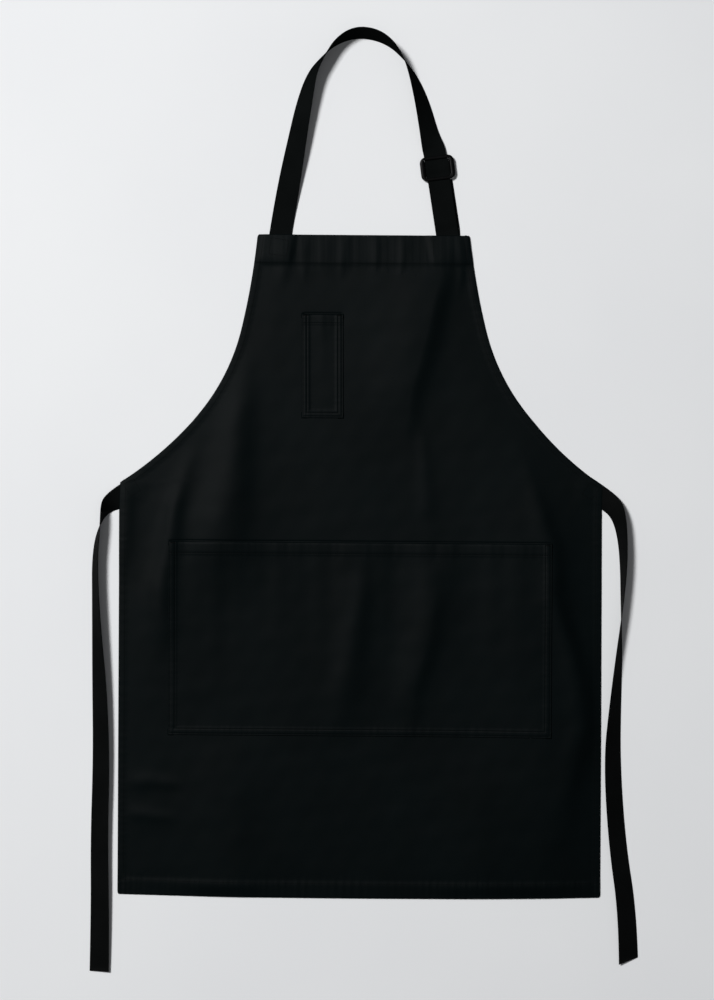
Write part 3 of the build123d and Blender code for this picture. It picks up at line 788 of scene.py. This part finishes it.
def make_pocket(name, pocket):
    """Patch pocket with the turned hem of its mouth."""
    middle, half, mouth, depth, hem = pocket
    face = place_piece(patch_pocket(f"{name}_face", pocket), TWILL, [name])

    def under(x, y):
        return pocket_top(x, y, pocket) - 0.85 * MM

    turning = under_ply(f"{name}_hem_turning", middle - half + 8 * MM, middle + half - 8 * MM,
                        mouth - hem + 0.8 * MM, mouth - 5.5 * MM, under)
    place_piece(turning, TWILL, [f"{name}_hem"])


def make_strap():
    """Neck strap: one length of webbing from its sewn end, round the neck and back up to the slider."""
    centres, across = route_line(STRAP_ROUTE, STRAP_WIDTH, STRAP_PLY)
    strap = ribbon("neck_strap_webbing", centres, across, STRAP_WIDTH, STRAP_PLY)
    crossing = ((0, 0.282, 0), (0, 0.296, 0))
    place_piece(strap, WEBBING, ["neck_strap", "neck_strap_end"],
                ("root", "neck_loop", *crossing))
    side_view = [(258, 1.8), (254.5, 1.75), (252.6, 1.15), (254.5, 0.45), (259, 0.4), (284, 0.4),
                 (320, 0.4), (352, 0.4)]
    foot_x, foot_y = RETURN_FOOT
    line = spline_points([((foot_x + RETURN_LEAN * (y - foot_y)) * MM, y * MM, z * MM) for y, z in side_view])
    line[:, 0] += RETURN_SHIFT * smooth((line[:, 1] - 0.262) / 0.03) * (line[:, 2] < 1.0 * MM)
    angle = math.atan(RETURN_LEAN)
    sideways = np.tile([math.cos(angle), -math.sin(angle), 0], (len(line), 1))
    turn = ribbon("neck_strap_return", line, sideways, STRAP_WIDTH, RETURN_PLY)
    place_piece(turn, WEBBING, ["strap_bight", "strap_return"],
                ("root", "neck_loop", *crossing))
    tape_x = np.array([87, 91, 95, 110, 125, 129, 133])
    tape_z = np.array([1.9, 1.85, 1.1, 1.08, 1.1, 1.85, 1.9])
    line = spline_points([(x * MM, ANCHOR_Y * MM, z * MM) for x, z in zip(tape_x, tape_z)])
    upward = np.tile([0, 1, 0], (len(line), 1))
    anchor = ribbon("anchor_tape_strip", line, upward, ANCHOR_WIDTH, ANCHOR_PLY)
    place_piece(anchor, TAPE, ["anchor_tape"])


SLIDER_CENTRE = (95.6, 367)          # in mm, as are the other slider sizes
SLIDER_LEAN = math.atan(0.125)
SLIDER_SIZE = (43, 30)
SLIDER_CORNER = 7.6
SLIDER_TOP = 7.0
RAIL_WIDTH, RAIL_LOW = 6.4, 1.6
BAR_WIDTH, BAR_LOW = 3.75, 5.1       # bars at the slider's two ends
MIDDLE_BAR_HALF, MIDDLE_BAR_Z, MIDDLE_BAR_RISE = 16.2, 2.3, 0.7
RING_POINTS = 20                     # round a rail or a bar


def slider_point(x, y, z):
    """Place of a point given across, along and above the slider, in mm."""
    c, s = math.cos(SLIDER_LEAN), math.sin(SLIDER_LEAN)
    return np.stack([SLIDER_CENTRE[0] + x * c - y * s, SLIDER_CENTRE[1] + x * s + y * c, z], axis=-1) * MM


def rounded_ring(half_out, half_up, squareness):
    """Points of a rounded box section: how far out and how far up each one lies."""
    ring = []
    for step in range(RING_POINTS):
        angle = 2 * math.pi * step / RING_POINTS
        c, s = math.cos(angle), math.sin(angle)
        ring.append((math.copysign(abs(c) ** squareness, c) * half_out,
                     math.copysign(abs(s) ** squareness, s) * half_up))
    return ring


def make_slider():
    """Three-bar slider with the strap's end sewn round its middle bar."""
    half_x, half_y = SLIDER_SIZE[0] / 2, SLIDER_SIZE[1] / 2
    outline = []
    for cx, cy, start in ((1, 1, 0), (-1, 1, 90), (-1, -1, 180), (1, -1, 270)):
        middle = (half_x - SLIDER_CORNER) * cx, (half_y - SLIDER_CORNER) * cy
        for angle in np.radians(np.linspace(start, start + 90, 9)):
            outline.append((middle[0], middle[1], math.cos(angle), math.sin(angle)))
    vertices = []
    for cx, cy, nx, ny in outline:
        on_rail = smooth((abs(nx) - 0.55) / 0.35)
        thick = RAIL_WIDTH * on_rail + BAR_WIDTH * (1 - on_rail)
        low = RAIL_LOW * on_rail + BAR_LOW * (1 - on_rail)
        reach = SLIDER_CORNER - thick / 2
        for out, up in rounded_ring(thick / 2, (SLIDER_TOP - low) / 2, 0.55):
            vertices.append((cx + nx * (reach + out), cy + ny * (reach + out), (SLIDER_TOP + low) / 2 + up))
    points = np.array(vertices)
    faces = grid_faces(len(outline) + 1, RING_POINTS, closed=True) % len(points)
    stations = np.linspace(-MIDDLE_BAR_HALF, MIDDLE_BAR_HALF, 24)
    middle_bar = [(x, out, MIDDLE_BAR_Z + up) for x in stations
                  for out, up in rounded_ring(BAR_WIDTH / 2, MIDDLE_BAR_RISE, 0.5)]
    faces = np.concatenate([faces, grid_faces(len(stations), RING_POINTS, closed=True) + len(points)])
    points = np.concatenate([points, np.array(middle_bar)])
    frame_piece = mesh_object("slider_body", slider_point(points[:, 0], points[:, 1], points[:, 2]), faces)
    place_piece(frame_piece, PLASTIC, ["slider_frame"], "slider")

    loop_side = [(-13, 1.05), (-6, 1.05), (-2.9, 1.08), (0, 1.12), (2.6, 1.25), (2.95, 2.3),
                 (2.5, 3.3), (0, 3.4), (-2.5, 3.25), (-4.2, 2.3), (-8, 1.75), (-13, 1.7)]
    line = spline_points([slider_point(0.0, y, z).tolist() for y, z in loop_side])
    across = slider_point(1.0, 0.0, 0.0) - slider_point(0.0, 0.0, 0.0)
    loop = ribbon("strap_end_sewn_loop", line, np.tile(across, (len(line), 1)),
                  SEWN_LOOP_WIDTH, SEWN_LOOP_PLY)
    place_piece(loop, WEBBING, ["strap_end_loop"], "slider")

    hump_side = [(-10.4, 4.25), (-7.5, 4.5), (-4, 5.5), (0, 6.0), (4, 5.5), (7.5, 4.5), (10.4, 4.25)]
    line = spline_points([slider_point(0.0, y, z).tolist() for y, z in hump_side])
    hump = ribbon("strap_over_middle_bar", line, np.tile(across, (len(line), 1)), HUMP_WIDTH, STRAP_PLY)
    place_piece(hump, WEBBING, (), "slider")


def make_tie(word, route, slant):
    """Waist tie: one length of tape from under the side hem to its cut end."""
    centres, across = route_line(route, TIE_WIDTH, TIE_PLY)
    tie = ribbon(f"{word}_waist_tie", centres, across, TIE_WIDTH, TIE_PLY, slant)
    joint = next(j for j in frame["joints"] if j["name"] == f"{word}_tie_swing")
    pivot = np.array(joint["pos_m"])
    nearest = int(np.argmin(np.linalg.norm(centres[:, :2] - pivot[:2], axis=1)))
    along = centres[nearest + 1] - centres[nearest - 1]
    along /= np.linalg.norm(along)
    start, end = centres[nearest] - along * 6 * MM, centres[nearest] + along * 6 * MM
    place_piece(tie, TAPE, [f"{word}_tie", f"{word}_tie_end"],
                ("root", f"{word}_tie", tuple(start), tuple(end)))


def make_stitches():
    """Rows of lockstitch, as real thread."""
    def sew(name, rows, height=cloth_top, **how):
        place_piece(stitch_rows(name, rows, height, **how), THREAD, [name[:-7]])

    low_y = CORNER_Y + BOTTOM_HEM - 3 * MM
    sew("armhole_stitching_thread", [hem_row(s, BIB_TOP - 3 * MM, WAIST_Y - 4 * MM) for s in (-1, 1)])
    sew("side_stitching_thread", [hem_row(s, WAIST_Y - 7 * MM, low_y) for s in (-1, 1)])
    x = np.linspace(-BODY_HALF + 2 * MM, BODY_HALF - 2 * MM, 300)
    sew("bottom_hem_stitching_thread", [np.stack([x, bottom_line(x) + BOTTOM_HEM - 1.5 * MM], axis=1)])
    top_row = BIB_TOP - TOP_HEM + 1.5 * MM
    sew("top_hem_stitching_thread", [level_row(-BIB_HALF - 2 * MM, BIB_HALF + 2 * MM, top_row)])
    for name, pocket, insets in (("main_pocket", MAIN_POCKET, POCKET_ROWS),
                                 ("pen_pocket", PEN_POCKET, PEN_ROWS)):
        middle, half, mouth, depth, hem = pocket

        def face(x, y, pocket=pocket):
            return pocket_top(x, y, pocket)

        sew(f"{name}_stitching_thread", pocket_side_rows(pocket, insets), face)
        row = level_row(middle - half + 2 * MM, middle + half - 2 * MM, mouth - hem + 1.5 * MM)
        sew(f"{name}_hem_stitching_thread", [row], face)
    strap_rows = [box_row(-106 * MM, 268 * MM, 22 * MM, 20 * MM, -0.15)]
    strap_rows += [[(x * MM, 279 * MM), (x * MM, 257 * MM)] for x in (87, 129)]
    sew("strap_stitching_thread", strap_rows)
    tie_rows = [box_row(s * 286.5 * MM, -33.5 * MM, 14 * MM, 18 * MM, s * math.radians(-33))
                for s in (-1, 1)]
    sew("tie_stitching_thread", tie_rows)
    tacks = []
    for middle, half, mouth, depth, hem in (MAIN_POCKET, PEN_POCKET):
        for s in (-1, 1):
            start = middle + s * (half - 1.5 * MM)
            tacks.append([(start - s * 0.5 * MM * i, mouth - (1.2 + 1.6 * (i % 2)) * MM)
                          for i in range(15)])

    def pocket_face(x, y):
        return np.where(y > 0, pocket_top(x, y, PEN_POCKET), pocket_top(x, y, MAIN_POCKET))

    sew("bar_tacks_thread", tacks, pocket_face, pitch=1.7 * MM, thick=0.5 * MM, share=0.98)


# ---- Studio ----
def make_studio():
    """Pale floor, a large soft key light from the upper left, a weak fill and a dim even sky."""
    floor = mesh_object("floor", [(x, y, -0.0002) for x, y in ((-9, -9), (9, -9), (9, 9), (-9, 9))],
                        [(0, 1, 2, 3)])
    floor.data.materials.append(floor_material())
    add_light("key_light", (-2.2, 1.6, 4.7), 1.05, 290)
    add_light("fill_light", (0.4, -0.6, 3.2), 2.4, 5)
    world = bpy.data.worlds.new("studio")
    world.use_nodes = True
    world.node_tree.nodes["Background"].inputs[0].default_value = (0.95, 0.97, 1.0, 1)
    world.node_tree.nodes["Background"].inputs[1].default_value = 0.08
    bpy.context.scene.world = world
    bpy.context.scene.view_settings.view_transform = "Standard"


def add_light(name, place, size, power):
    """Square soft light aimed at the middle of the apron."""
    light = bpy.data.lights.new(name, "AREA")
    light.shape, light.size, light.energy = "SQUARE", size, power
    obj = bpy.data.objects.new(name, light)
    bpy.context.scene.collection.objects.link(obj)
    obj.location = place
    aim = np.array([0, 0, 0]) - np.array(place)
    obj.rotation_mode = "QUATERNION"
    obj.rotation_quaternion = Vector(aim).to_track_quat("-Z", "Y")


def make_camera():
    """Camera straight above the apron."""
    camera = bpy.data.cameras.new("camera")
    camera.lens, camera.sensor_width = 70, 36
    obj = bpy.data.objects.new("camera", camera)
    obj.location = (-0.005, -0.047, 2.4306)
    bpy.context.scene.collection.objects.link(obj)
    bpy.context.scene.camera = obj


make_camera()
make_studio()
make_panel_and_hems()
make_pocket("main_pocket", MAIN_POCKET)
make_pocket("pen_pocket", PEN_POCKET)
make_strap()
make_slider()
make_tie("left", LEFT_TIE_ROUTE, 0.0)
make_tie("right", RIGHT_TIE_ROUTE, 4 * MM)
make_stitches()
